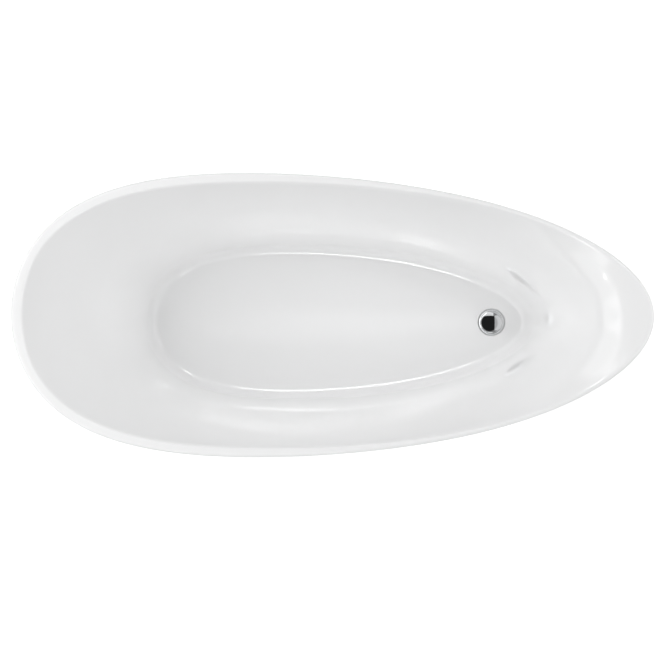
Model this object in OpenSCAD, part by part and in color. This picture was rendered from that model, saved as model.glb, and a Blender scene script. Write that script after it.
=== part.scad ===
// Freestanding egg-shaped bathtub: a moulded basin bonded to an outer skirt, on a levelled steel
// base, with a press-to-open plug. Millimetres, +Z up, +X towards the waste (foot) end, origin on
// the floor under the middle of the rim.

/* [Rim] */
// Overall length of the rim
tub_l = 1700; // [1400:10:2050]
// Overall width of the rim
tub_w = 750; // [620:10:900]
// Height of the rim at the head end, over the backrest
head_h = 720; // [600:5:870]
// Height of the rim at the foot end, over the waste
foot_h = 560; // [460:5:680]
// Width of the rim round the head end
rim_w_head = 26; // [20:1:40]
// Width of the rim round the foot end
rim_w_foot = 14; // [13:1:20]
// Radius of the roll at the rim's outer edge
rim_r = 8; // [7:0.5:10]
// Run of the rounding at the rim's inner edge, at the head end
lip_head = 6; // [4:1:10]
// Run of the rounding at the rim's inner edge, at the foot end, where the wall rolls into the rim
lip_foot = 34; // [20:1:44]
// Depth of the flange that turns down outside the rim
flange_d = 28; // [22:1:40]

/* [Egg outline] */
// How far the widest place leans towards the head end
egg_lean = 0.17; // [0:0.01:0.25]
// How full the two ends are, against an ellipse
egg_full = 0.17; // [0:0.01:0.25]
// How blunt the head end is, against the foot end
egg_blunt = 0.11; // [0:0.01:0.2]

/* [Basin] */
// Thickness of the basin's acrylic and fibreglass shell
basin_t = 5; // [4:0.5:6]
// Height of the basin's floor at the waste
floor_h = 150; // [140:5:200]
// Rise of the floor from the waste to the head end
floor_fall = 10; // [5:1:20]
// Run of the backrest, from the rim's edge to the bend at its foot
back_run = 330; // [280:5:430]
// Run of the foot-end wall, from the rim's edge to the bend at its foot
foot_run = 305; // [240:5:360]
// Run of each side wall, from the rim's edge to the bend at its foot
side_run = 164; // [130:2:200]
// Width of the dished margin between the flat floor and the bend
dish_w = 76; // [50:2:90]
// Width of the dished margin in front of the waste
dish_w_foot = 46; // [40:2:60]
// Rise of the dished margin
dish_rise = 10; // [6:1:20]
// Share of a plain straight slope in the backrest and the side walls
wall_straight = 0.62; // [0.4:0.02:0.9]
// How much straighter still the side walls are, half way along
side_straight = 0.2; // [0:0.02:0.3]
// Share of a plain straight slope in the foot-end wall, which flares out to a lip
foot_straight = 0.12; // [0.05:0.01:0.4]
// How sharply the walls flare towards the rim
wall_flare = 3; // [2:0.1:4]

/* [Skirt] */
// Thickness of the outer skirt
skirt_t = 5; // [4:0.5:6]
// Height of the skirt's foot above the floor
skirt_gap = 10; // [6:1:14]
// Inset of the skirt's foot from the rim at the head end
skirt_in_head = 260; // [200:5:300]
// Inset of the skirt's foot from the rim at the foot end
skirt_in_foot = 240; // [190:5:280]
// Inset of the skirt's foot from the rim at each side
skirt_in_side = 112; // [90:2:130]
// How round the skirt's wall is, 1 being a straight taper
skirt_round = 1.5; // [1.2:0.05:2]
// Width of the hem turned in at the skirt's foot
hem_w = 32; // [28:1:40]
// Width of the seam between the rim's flange and the skirt
seam_w = 2; // [1:0.5:3]

/* [Base frame] */
// Thickness of the board bonded under the basin
board_t = 15; // [12:1:18]
// Side of the square steel tube
tube_w = 25; // [20:1:30]
// Wall of the square steel tube
tube_t = 1.5; // [1:0.5:3]
// Thickness of the steel of the skirt brackets
bracket_t = 3; // [2:0.5:4]
// Width of each skirt bracket
bracket_w = 30; // [20:1:40]

/* [Levelling feet] */
// Diameter of the feet's studs
stud_d = 12; // [10:1:14]
// Diameter of the feet's pads
pad_d = 50; // [40:1:60]
// Height of the feet's pads
pad_h = 14; // [12:1:18]

/* [Waste] */
// Distance from the waste to the bend in front of it
waste_setback = 108; // [98:1:130]
// Diameter of the waste's flange
flange_dia = 72; // [70:1:80]
// Diameter of the waste's threaded shank, G 1 1/2
shank_d = 47.8; // [47.8:0.1:47.8]
// Diameter of the tail pipe's spigot, 1 1/2 inch tube
spigot_d = 38.1; // [38.1:0.1:38.1]
// Height of the tail pipe's end above the floor
spigot_z = 30; // [20:1:36]

/* [Hidden] */

// Sections round the egg, and the angle between them
around = 72;
turn = 360 / around;
// Half the angle over which a normal is taken
tick = 0.5;
// Clearances: between parts that touch, between turning threads, round screws and pipes
touch = 0.2;
running = 0.05;
loose = 0.3;
$fn = 48;

head_x = -tub_l / 2;
foot_x = tub_l / 2;
// The bend between the walls and the dished margin
bend_head = head_x + back_run;
bend_foot = foot_x - foot_run;
bend_half = tub_w / 2 - side_run;
bend_r = 24;
// The flat part of the floor
flat_head = bend_head + dish_w;
flat_foot = bend_foot - dish_w_foot;
flat_half = bend_half - dish_w;
// The skirt's foot
hem_head = head_x + skirt_in_head;
hem_foot = foot_x - skirt_in_foot;
hem_half = tub_w / 2 - skirt_in_side;
// The underside of the basin, which is built up level for the board
bed_t = 10;
bed_z = floor_h - bed_t;
board_z = bed_z - board_t;
rail_z = board_z - tube_w;
bar_z = rail_z - tube_w;

// ---- The egg ----

function mix(a, b, t) = a + (b - a) * t;
function clamp(t) = max(0, min(1, t));
function smooth(t) = let(s = clamp(t)) s * s * (3 - 2 * s);
function unit(v) = v / norm(v);
function flat(p) = [p[0], p[1]];
function at_z(p, z) = [p[0], p[1], z];

// Half width of the egg at an angle, where 0 is the head end and 180 the foot end
function egg_y(a) = sin(a) * (1 + egg_lean * cos(a) + egg_full * cos(a) ^ 2 + egg_blunt * cos(a) ^ 3);
egg_peak = max([for (a = [0:1:180]) egg_y(a)]);
function egg(head, foot, half, a) =
    [mix(head, foot, (1 - cos(a)) / 2), half / egg_peak * egg_y(a)];
// Half width, at a place along X, of an egg
function half_at(head, foot, half, x) =
    half / egg_peak * egg_y(acos(1 - 2 * (x - head) / (foot - head)));

// A level step towards the inside of an outline that runs from p to q
function inward(p, q, d) = let(e = unit(flat(q) - flat(p))) [e[1], -e[0], 0] * d;

// ---- Outlines and heights, by angle ----

function rim(a) = egg(head_x, foot_x, tub_w / 2, a);
function bend(a) = egg(bend_head, bend_foot, bend_half, a);
function flat_edge(a) = egg(flat_head, flat_foot, flat_half, a);
function hem(a) = egg(hem_head, hem_foot, hem_half, a);
function rim_z(a) = foot_h + (head_h - foot_h) * smooth((1 + cos(a)) / 2);
function rim_w(a) = rim_w_foot + (rim_w_head - rim_w_foot) * smooth(cos(a) + 0.6);
function straight(a) = foot_straight + (wall_straight - foot_straight) * smooth((1 + cos(a)) / 0.8)
    + side_straight * sin(a) ^ 2;
function floor_z(x) = floor_h + floor_fall * max(0, waste_x - x) / (waste_x - flat_head);
// The rounding at the rim's inner edge: its run down the wall, and its run on the rim
function lip_run(a) = mix(lip_head, lip_foot, smooth(-1.4 * cos(a) - 0.2));
lip_top = 4;
function rim_step(a, d) = at_z(rim(a), 0) + inward(rim(a - tick), rim(a + tick), d);
waste_x = bend_foot - waste_setback;

// The basin's wall, from the bend at 0 to the rim's inner edge at 1
function wall_rise(a, r) = mix(1 - (1 - r) ^ wall_flare, r, straight(a));
function bend_z(a) = floor_z(flat_edge(a)[0]) + dish_rise;
function wall(a, r) = at_z(
    mix(bend(a), flat(rim_step(a, rim_w(a))), r), mix(bend_z(a), rim_z(a), wall_rise(a, r)));
// The dished margin, from the flat floor at 0 to the bend at 1
function dish(a, r) = at_z(
    mix(flat_edge(a), bend(a), r), floor_z(flat_edge(a)[0]) + dish_rise * r ^ 2);
// The outside, from the skirt's foot at 0 to the rim's roll at 1
function side(a, t) = at_z(
    mix(hem(a), rim(a), 1 - (1 - t) ^ skirt_round), mix(skirt_gap, rim_z(a) - rim_r, t));
function side_t(a, depth) = 1 - (depth - rim_r) / (rim_z(a) - rim_r - skirt_gap);
function side_in(a, t, d) = side(a, t) + inward(side(a - tick, t), side(a + tick, t), d);

// Normals that point away from the bather
function away(pa, pb, pc, pd) = unit(cross(pd - pc, pb - pa));
function wall_away(a, r) =
    away(wall(a - tick, r), wall(a + tick, r), wall(a, r - 0.01), wall(a, r + 0.01));
function dish_away(a, r) =
    away(dish(a - tick, r), dish(a + tick, r), dish(a, r - 0.01), dish(a, r + 0.01));
// The corner of two skins whose faces meet at p
function mitre(p, n, m, d) = p + d * (n + m) / (1 + n * m);

// A corner at c between two points, rounded in steps
function rounded(p, c, q, steps) = [for (k = [0:steps]) let(t = k / steps)
    (1 - t) ^ 2 * p + 2 * t * (1 - t) * c + t ^ 2 * q];

// ---- Solids that run right round the egg ----

// Skins a closed section that is given at every angle
module ring_solid(sections) {
    n = len(sections);
    m = len(sections[0]);
    polyhedron(
        points = [for (s = sections) each s],
        faces = [for (j = [0:n - 1], i = [0:m - 1])
            let(a = j * m + i, b = j * m + (i + 1) % m)
            let(c = (j + 1) % n * m + (i + 1) % m, d = (j + 1) % n * m + i)
            each [[a, c, b], [a, d, c]]]);
}

hole_r = 26;
seat_r = flange_dia / 2 + 1.5;
seat_chamfer = 1.5;
seat_depth = 5;
seat_z = floor_h - seat_depth;
// A place on a circle about the waste, on the line to the flat floor's edge
function round_hole(a, r, z) = at_z([waste_x, 0] + r * unit(flat_edge(a) - [waste_x, 0]), z);

// The basin's section at an angle: waste hole, floor, wall, rim and flange, then back underneath
function basin_section(a) =
    let(corner = at_z(rim_step(a, rim_w(a)), rim_z(a)))
    let(low = bend_r / norm(wall(a, 1) - wall(a, 0)))
    let(high = 1 - lip_run(a) / norm(flat(wall(a, 1) - wall(a, 0))))
    let(dish_run = norm(dish(a, 1) - dish(a, 0)))
    let(well = round_hole(a, seat_r + seat_chamfer, floor_h), brim = at_z(flat_edge(a), dish(a, 0)[2]))
    let(end_t = side_t(a, flange_d))
    concat(
        [round_hole(a, hole_r, seat_z), round_hole(a, seat_r, seat_z), well],
        [for (r = [0.35, 0.7]) let(p = mix(well, brim, r)) at_z(p, floor_z(p[0]))],
        [for (r = [0, 0.35, 0.6]) dish(a, r)],
        rounded(dish(a, 1 - bend_r / dish_run), dish(a, 1), wall(a, low), 3),
        [for (r = [0.14, 0.24, 0.36, 0.48, 0.6, 0.72, 0.83]) wall(a, r)],
        rounded(wall(a, high), corner, at_z(rim_step(a, rim_w(a) - lip_top), rim_z(a)), 3),
        [for (f = [0:22.5:90]) at_z(
            rim_step(a, rim_r * (1 - sin(f))), rim_z(a) - rim_r * (1 - cos(f)))],
        [side(a, end_t), side_in(a, end_t, basin_t)],
        [at_z(rim_step(a, basin_t), rim_z(a) - rim_r)],
        [at_z(rim_step(a, rim_r), rim_z(a) - basin_t)],
        [mitre(corner, [0, 0, -1], wall_away(a, 0.985), basin_t)],
        [for (r = [0.82, 0.64, 0.46, 0.28, 0.12]) wall(a, r) + basin_t * wall_away(a, r)],
        [mitre(dish(a, 1), dish_away(a, 0.95), wall_away(a, 0.05), basin_t)],
        [dish(a, 0.5) + basin_t * dish_away(a, 0.5)],
        [at_z(flat_edge(a), bed_z), round_hole(a, hole_r, bed_z)]
    );

module basin() color("white") ring_solid([for (j = [0:around - 1]) basin_section(j * turn)]);

// Depth below the rim at which the skirt begins
skirt_top = flange_d + seam_w;
skirt_steps = 9;
function skirt_section(a) =
    let(top = side_t(a, skirt_top), low = skirt_t / (rim_z(a) - rim_r - skirt_gap))
    concat(
        [for (k = [skirt_steps:-1:0]) side(a, top * k / skirt_steps)],
        [side_in(a, 0, hem_w), at_z(side_in(a, 0, hem_w), skirt_gap + skirt_t)],
        [for (k = [0:skirt_steps]) side_in(a, mix(low, top, k / skirt_steps), skirt_t)]
    );
module skirt() color("white") ring_solid([for (j = [0:around - 1]) skirt_section(j * turn)]);

// A band that follows the outside between two depths, from one inset to another
module band(depth_a, depth_b, inset_a, inset_b) {
    ring_solid([for (j = [0:around - 1]) let(a = j * turn)
        let(t = side_t(a, depth_a), u = side_t(a, depth_b))
        [side_in(a, t, inset_a), side_in(a, u, inset_a),
         side_in(a, u, inset_b), side_in(a, t, inset_b)]]);
}

// Clearance of the bead from both shells, and its inset from both faces of the joint
seam_play = 0.15;
seam_inset = 0.6;
module seam_bead() color("whitesmoke")
    band(flange_d + seam_play, skirt_top - seam_play, seam_inset, basin_t - seam_inset);

// The strip is bonded across the seam with a bed of resin
strip_t = 3;
strip_bed = 1;
strip_lap = 8;
strip_drop = 30;
strip_in = max(basin_t, skirt_t) + strip_bed;
module joint_strip() color("beige")
    band(flange_d - strip_lap, skirt_top + strip_drop, strip_in, strip_in + strip_t);

// ---- Base board and frame ----

board_inset = 8;
// Room for the backnut round the waste's shank
notch_room = 24;
notch_r = shank_d / 2 + notch_room;
module base_board() color("burlywood") difference() {
    translate([0, 0, board_z]) linear_extrude(board_t)
        polygon([for (j = [0:around - 1]) let(a = j * turn)
            flat(at_z(flat_edge(a), 0)
                + inward(flat_edge(a - tick), flat_edge(a + tick), board_inset))]);
    translate([waste_x, 0, board_z - 1]) cylinder(r = notch_r, h = board_t + 2);
    translate([waste_x, -notch_r, board_z - 1]) cube([notch_r * 3, notch_r * 2, board_t + 2]);
    for (p = board_screw_places)
        translate([p[0], p[1], board_z - 1]) cylinder(d = screw_d + running, h = screw_bite + 1);
}

// Rails lie under the board along X, and crossbars under the rails along Y
rail_inset = 28;
rail_head_in = 70;
rail_foot_in = 14;
rail_head = flat_head + rail_head_in;
rail_foot = waste_x - notch_r - rail_foot_in;
rail_y = min(
    half_at(flat_head, flat_foot, flat_half, rail_head),
    half_at(flat_head, flat_foot, flat_half, rail_foot)) - rail_inset - tube_w / 2;
bar_head_in = 30;
bar_foot_in = 40;
bar_head = rail_head + bar_head_in;
bar_foot = rail_foot - bar_foot_in;
bar_middle = (bar_head + bar_foot) / 2;
// Gap between a crossbar's end and the hem
bar_gap = 6;
function bar_half(x) = half_at(hem_head, hem_foot, hem_half, x) - hem_w - bar_gap;

module square_tube(l) difference() {
    translate([0, -tube_w / 2, 0]) cube([l, tube_w, tube_w]);
    translate([-1, -tube_w / 2 + tube_t, tube_t])
        cube([l + 2, tube_w - 2 * tube_t, tube_w - 2 * tube_t]);
}

screw_d = 5;
screw_bite = 10;
screw_head = 3;
screw_across = 8;
board_screw_places = [
    for (x = [(bar_head + bar_middle) / 2, (bar_middle + bar_foot) / 2], y = [-rail_y, rail_y]) [x, y]];

module rail(y) color("silver") difference() {
    translate([rail_head, y, rail_z]) square_tube(rail_foot - rail_head);
    for (p = board_screw_places)
        translate([p[0], p[1], rail_z - 1]) cylinder(d = screw_d + 2 * loose, h = tube_w + 2);
}
module left_rail() rail(rail_y);
module right_rail() rail(-rail_y);

// Where the feet stand: two on the head and foot crossbars, one in the middle
stud_inset = 45;
stud_gap = 0.5;
function stud_y(x) = bar_half(x) - stud_inset;
feet = [
    [bar_head, stud_y(bar_head)], [bar_head, -stud_y(bar_head)],
    [bar_foot, stud_y(bar_foot)], [bar_foot, -stud_y(bar_foot)],
    [bar_middle, 0]
];
bars = [bar_head, bar_foot];

module crossbar(x) color("silver") difference() {
    translate([x, -bar_half(x), bar_z]) rotate(90) square_tube(2 * bar_half(x));
    for (p = feet)
        if (p[0] == x) translate([p[0], p[1], bar_z - 1])
            cylinder(d = stud_d + 2 * stud_gap, h = tube_w + 2);
    for (y = [-1, 1]) translate([x, y * (bar_half(x) - bracket_screw_in), bar_z - 1])
        cylinder(d = screw_d + 2 * loose, h = tube_t + 2);
}
module head_crossbar() crossbar(bar_head);
module middle_crossbar() crossbar(bar_middle);
module foot_crossbar() crossbar(bar_foot);

cap_t = 2;
cap_plug = 8;
module tube_cap() {
    translate([0, -tube_w / 2, 0]) cube([cap_t, tube_w, tube_w]);
    translate([-cap_plug, -tube_w / 2 + tube_t + touch, tube_t + touch])
        cube([cap_plug, tube_w - 2 * (tube_t + touch), tube_w - 2 * (tube_t + touch)]);
}
module tube_end_caps() color("dimgray") {
    for (y = [-rail_y, rail_y]) {
        translate([rail_foot, y, rail_z]) tube_cap();
        translate([rail_head, y, rail_z]) rotate(180) tube_cap();
    }
    for (x = [bar_head, bar_middle, bar_foot]) {
        translate([x, bar_half(x), bar_z]) rotate(90) tube_cap();
        translate([x, -bar_half(x), bar_z]) rotate(-90) tube_cap();
    }
}

module hex(across, h) cylinder(r = across / 2 / cos(30), h = h, $fn = 6);

module board_screws() color("gainsboro") for (p = board_screw_places)
    translate([p[0], p[1], rail_z - screw_head]) {
        hex(screw_across, screw_head);
        cylinder(d = screw_d, h = screw_head + tube_w + screw_bite - 1);
    }

nut_across = stud_d * 1.58;
nut_h = 10;
lock_h = 7;
module nut(across, h, hole) difference() {
    hex(across, h);
    translate([0, 0, -1]) cylinder(d = hole, h = h + 2);
}
module weld_nuts() color("silver") for (p = feet)
    translate([p[0], p[1], bar_z + tube_w]) nut(nut_across, nut_h, stud_d + 2 * running);
module lock_nuts() color("gainsboro") for (p = feet)
    translate([p[0], p[1], bar_z - lock_h]) nut(nut_across, lock_h, stud_d + 2 * running);

// ---- Brackets that hold the skirt's hem ----

bracket_screw_in = 14;
bracket_screw_out = 6;
bracket_tab = 30;
// Gaps from the bracket to the end cap behind it, and to the skirt's wall in front of it
bracket_play = 1;
bracket_room = 9;
pad_glue = 3;
pad_inset = 4;
hem_top = skirt_gap + skirt_t;
bracket_foot = hem_w + bar_gap - skirt_t - bracket_room;
module bracket(x) {
    half = bar_half(x) + cap_t + bracket_play;
    low = hem_top + pad_glue;
    difference() {
        translate([x - bracket_w / 2, half - bracket_tab, bar_z - bracket_t])
            cube([bracket_w, bracket_tab, bracket_t]);
        translate([x, bar_half(x) - bracket_screw_in, bar_z - bracket_t - 1])
            cylinder(d = screw_d + 2 * loose, h = bracket_t + 2);
    }
    translate([x - bracket_w / 2, half - bracket_t, low])
        cube([bracket_w, bracket_t, bar_z - low]);
    translate([x - bracket_w / 2, half - bracket_t, low])
        cube([bracket_w, bracket_foot + bracket_t, bracket_t]);
}
module both_sides() {
    children();
    mirror([0, 1, 0]) children();
}
module skirt_brackets() color("silver") both_sides() for (x = bars) bracket(x);
module bracket_screws() color("gainsboro") both_sides() for (x = bars)
    translate([x, bar_half(x) - bracket_screw_in, bar_z - bracket_t - screw_head]) {
        hex(screw_across, screw_head);
        cylinder(d = screw_d, h = screw_head + bracket_t + tube_t + bracket_screw_out);
    }
module hem_pads() color("dimgray") both_sides() for (x = bars)
    translate([x - bracket_w / 2, bar_half(x) + bar_gap + pad_inset, hem_top])
        cube([bracket_w, bracket_foot + cap_t - bar_gap - pad_inset, pad_glue]);

// ---- Levelling feet ----

socket_depth = 8;
pad_edge = 5;
wrench_across = stud_d * 1.42;
wrench_h = 6;
stud_above = 6;
module foot_pad(k) color("dimgray") translate([feet[k][0], feet[k][1], 0]) difference() {
    union() {
        cylinder(d = pad_d, h = pad_edge);
        translate([0, 0, pad_edge])
            cylinder(d1 = pad_d - 2, d2 = 2 * stud_d, h = pad_h - pad_edge, $fn = 72);
    }
    translate([0, 0, pad_h - socket_depth]) cylinder(d = stud_d + 2 * running, h = socket_depth + 1);
}
module foot_stud(k) color("gainsboro") translate([feet[k][0], feet[k][1], 0]) {
    translate([0, 0, pad_h - socket_depth])
        cylinder(d = stud_d, h = bar_z + tube_w + nut_h + stud_above - pad_h + socket_depth);
    translate([0, 0, pad_h + touch]) hex(wrench_across, wrench_h);
}

// ---- Waste ----

gasket_t = 1.5;
gasket_in = 0.5;
bore_r = 20;
shank_r = shank_d / 2;
shank_l = 59;
shank_end = seat_z - shank_l;
flange_z = seat_z + gasket_t;
flange_h = 4.6;
flange_edge = 1.8;
cone_top_r = 30;
cone_low_r = 22;
cone_h = 3.6;
flange_top = flange_z + flange_h;
hub_drop = 22;
hub_z = seat_z - hub_drop;
hub_h = 5;
hub_r = 9;
spoke_w = 3;
cartridge_r = 7;
module at_waste() translate([waste_x, 0, 0]) children();

// Flange, cone seat, threaded shank and the spider that holds the plug's cartridge
module waste_body() color("lightgray") at_waste() {
    rotate_extrude($fn = 96) polygon([
        [bore_r, shank_end], [shank_r, shank_end], [shank_r, flange_z],
        [flange_dia / 2, flange_z], [flange_dia / 2, flange_top - flange_edge],
        [flange_dia / 2 - flange_edge * 2 / 3, flange_top - flange_edge / 3],
        [flange_dia / 2 - flange_edge * 2, flange_top],
        [cone_top_r, flange_top], [cone_low_r, flange_top - cone_h], [bore_r, flange_top - cone_h - 1.5]
    ]);
    difference() {
        translate([0, 0, hub_z]) union() {
            cylinder(r = hub_r, h = hub_h);
            for (f = [0:90:270]) rotate(f) translate([0, -spoke_w / 2, 0]) cube([bore_r + 1, spoke_w, hub_h]);
        }
        translate([0, 0, hub_z - 1]) cylinder(r = cartridge_r + running, h = hub_h + 2);
    }
}
module washer(outer, inner, z, h) at_waste() translate([0, 0, z]) difference() {
    cylinder(r = outer, h = h);
    translate([0, 0, -1]) cylinder(r = inner, h = h + 2);
}
module waste_gasket() color("dimgray")
    washer(flange_dia / 2 - gasket_in, shank_r + loose, seat_z, gasket_t);

washer_t = 4;
washer_r = 35;
backnut_h = 11;
backnut_across = 62;
module backnut_washer() color("black") washer(washer_r, shank_r + loose, bed_z - washer_t, washer_t);
module backnut() color("darkgoldenrod") at_waste() translate([0, 0, bed_z - washer_t - backnut_h])
    nut(backnut_across, backnut_h, shank_d + 2 * running);

tail_nut_drop = 9;
tail_nut_t = 4.5;
tail_nut_h = 17;
tail_nut_floor = 3;
tail_washer_t = 3;
// Ribs round the union nut, for the hand
rib_out = 2;
rib_w = 4;
rib_end = 2;
collar_h = 2;
collar_out = 0.8;
pipe_play = 0.5;
pipe_t = 1.5;
pipe_in = 14;
spigot_r = spigot_d / 2;
pipe_top = shank_end + pipe_in;
collar_z = shank_end - tail_nut_drop - 1;
tail_nut_z = shank_end - tail_nut_drop + tail_nut_floor;
module tail_pipe() color("silver") at_waste() rotate_extrude() polygon([
    [spigot_r - pipe_t, spigot_z], [spigot_r, spigot_z], [spigot_r, collar_z],
    [bore_r + collar_out, collar_z], [bore_r + collar_out, collar_z + collar_h],
    [bore_r - pipe_play, collar_z + collar_h], [bore_r - pipe_play, pipe_top],
    [spigot_r - pipe_t, pipe_top]
]);
module tail_washer() color("black") 
    washer(shank_r, bore_r - 0.4, shank_end - tail_washer_t, tail_washer_t);
// Union nut that clamps the washer against the shank's end
module tail_nut() color("lightgray") at_waste() difference() {
    union() {
        translate([0, 0, tail_nut_z]) cylinder(r = shank_r + tail_nut_t, h = tail_nut_h);
        for (f = [0:30:330]) rotate(f)
            translate([shank_r + tail_nut_t - 1, -rib_w / 2, tail_nut_z + rib_end])
                cube([rib_out + 1, rib_w, tail_nut_h - 2 * rib_end]);
    }
    translate([0, 0, shank_end - tail_washer_t]) cylinder(r = shank_r + running, h = tail_nut_h);
    translate([0, 0, tail_nut_z - 1]) cylinder(r = bore_r, h = tail_nut_h);
}

// ---- Plug ----

stem_r = 4;
cap_r = 31;
cap_z = flange_top + 0.3;
cap_crown = 4;
cartridge_drop = 18;
cartridge_across = 18;
cartridge_head = 3;
cartridge_low = hub_z - cartridge_drop;
cartridge_top = hub_z + hub_h + cartridge_head;
chamber_r = 6;
collar_r = 5.8;
chamber_top = cartridge_top - 5;
chamber_low = cartridge_low + 2;
plug_travel = 9;
collar_top = chamber_top - plug_travel - 0.4;
stem_collar_h = 2;
module plug_cartridge() color("silver") at_waste() difference() {
    union() {
        translate([0, 0, cartridge_low]) cylinder(r = cartridge_r, h = cartridge_top - cartridge_low);
        translate([0, 0, hub_z + hub_h]) hex(cartridge_across, cartridge_head);
    }
    translate([0, 0, chamber_low]) cylinder(r = chamber_r, h = chamber_top - chamber_low);
    translate([0, 0, chamber_low]) cylinder(r = stem_r + running, h = 60);
}
module plug_stem() color("silver") at_waste() {
    translate([0, 0, collar_top - stem_collar_h])
        cylinder(r = stem_r, h = cap_z - collar_top + stem_collar_h);
    translate([0, 0, collar_top - stem_collar_h]) cylinder(r = collar_r, h = stem_collar_h);
}

// Spring wound as a wire of round section, pressed between the chamber's floor and the stem's collar
wire_r = 0.45;
coil_r = 5;
coils = 5;
per_coil = 16;
wire_sides = 6;
spring_low = chamber_low + wire_r + touch;
spring_high = collar_top - stem_collar_h - wire_r - touch;
module plug_spring() color("gray") at_waste() {
    steps = coils * per_coil;
    rings = [for (k = [0:steps]) let(f = 360 * k / per_coil)
        [for (s = [0:wire_sides - 1]) let(g = 360 * s / wire_sides)
            [(coil_r + wire_r * cos(g)) * cos(f), (coil_r + wire_r * cos(g)) * sin(f),
             mix(spring_low, spring_high, k / steps) + wire_r * sin(g)]]];
    n = wire_sides;
    polyhedron(
        points = [for (r = rings) each r],
        faces = concat(
            [for (s = [1:n - 2]) [0, s, s + 1]],
            [for (s = [1:n - 2]) [steps * n, steps * n + s + 1, steps * n + s]],
            [for (k = [0:steps - 1], s = [0:n - 1])
                let(a = k * n + s, b = k * n + (s + 1) % n)
                each [[a, b + n, b], [a, a + n, b + n]]]));
}

seal_r = 25.3;
seal_t = 2;
module plug_seal() color("black") washer(seal_r, stem_r + running, cap_z - seal_t, seal_t);
module plug_cap() color("gainsboro") at_waste() translate([0, 0, cap_z]) {
    edge_z = 1.6;
    rim_h = 0.9;
    dome_r = (cap_r ^ 2 + cap_crown ^ 2) / (2 * cap_crown);
    rotate_extrude($fn = 96) polygon(concat(
        [[0, 0], [cap_r - 2, 0], [cap_r, edge_z]],
        [for (k = [0:8]) let(r = cap_r * (1 - k / 8))
            [r, edge_z + rim_h + sqrt(dome_r ^ 2 - r ^ 2) - (dome_r - cap_crown)]]));
}

// ---- Parts list ----

basin();
skirt();
seam_bead();
joint_strip();
base_board();
left_rail();
right_rail();
head_crossbar();
middle_crossbar();
foot_crossbar();
tube_end_caps();
board_screws();
weld_nuts();
lock_nuts();
skirt_brackets();
bracket_screws();
hem_pads();
foot_pad(0);  // foot_pad_1
foot_pad(1);  // foot_pad_2
foot_pad(2);  // foot_pad_3
foot_pad(3);  // foot_pad_4
foot_pad(4);  // foot_pad_5
foot_stud(0);  // foot_stud_1
foot_stud(1);  // foot_stud_2
foot_stud(2);  // foot_stud_3
foot_stud(3);  // foot_stud_4
foot_stud(4);  // foot_stud_5
waste_body();
waste_gasket();
backnut_washer();
backnut();
tail_pipe();
tail_washer();
tail_nut();
plug_cartridge();
plug_spring();
plug_stem();
plug_seal();
plug_cap();
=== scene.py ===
"""Looks of the freestanding bath: shells, levelling feet, waste and plug, finishes and studio.

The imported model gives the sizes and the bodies. Everything is in metres, +Z up, with +X towards the
waste. Shells, threads, the spring and all repeated pieces are grown by Geometry Nodes trees that
this file builds; turned pieces are revolved in mesh code.
"""
from __future__ import annotations

import logging
import math
from dataclasses import dataclass, field, fields
from enum import Enum
from typing import Callable, Sequence, Union

import bmesh
import bpy
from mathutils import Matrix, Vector

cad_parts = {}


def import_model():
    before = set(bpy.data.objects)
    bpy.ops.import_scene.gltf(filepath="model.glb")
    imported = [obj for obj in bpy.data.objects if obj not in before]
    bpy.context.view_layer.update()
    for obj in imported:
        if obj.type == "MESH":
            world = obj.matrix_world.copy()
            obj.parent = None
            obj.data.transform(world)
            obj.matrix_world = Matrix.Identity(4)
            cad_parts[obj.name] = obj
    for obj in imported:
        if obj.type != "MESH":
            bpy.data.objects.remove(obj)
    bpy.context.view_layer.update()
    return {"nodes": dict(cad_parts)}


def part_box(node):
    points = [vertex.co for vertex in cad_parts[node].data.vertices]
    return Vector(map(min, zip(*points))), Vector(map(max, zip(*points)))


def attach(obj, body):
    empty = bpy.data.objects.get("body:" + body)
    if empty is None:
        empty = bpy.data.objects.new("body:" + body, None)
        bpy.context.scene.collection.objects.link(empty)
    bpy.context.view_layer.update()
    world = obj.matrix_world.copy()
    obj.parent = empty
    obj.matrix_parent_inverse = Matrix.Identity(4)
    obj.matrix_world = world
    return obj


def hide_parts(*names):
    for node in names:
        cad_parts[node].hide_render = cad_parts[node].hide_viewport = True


LOG = logging.getLogger("bath")
FEET = 5


# ---------------------------------------------------------------------------------------------
# Node trees
# ---------------------------------------------------------------------------------------------


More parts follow.
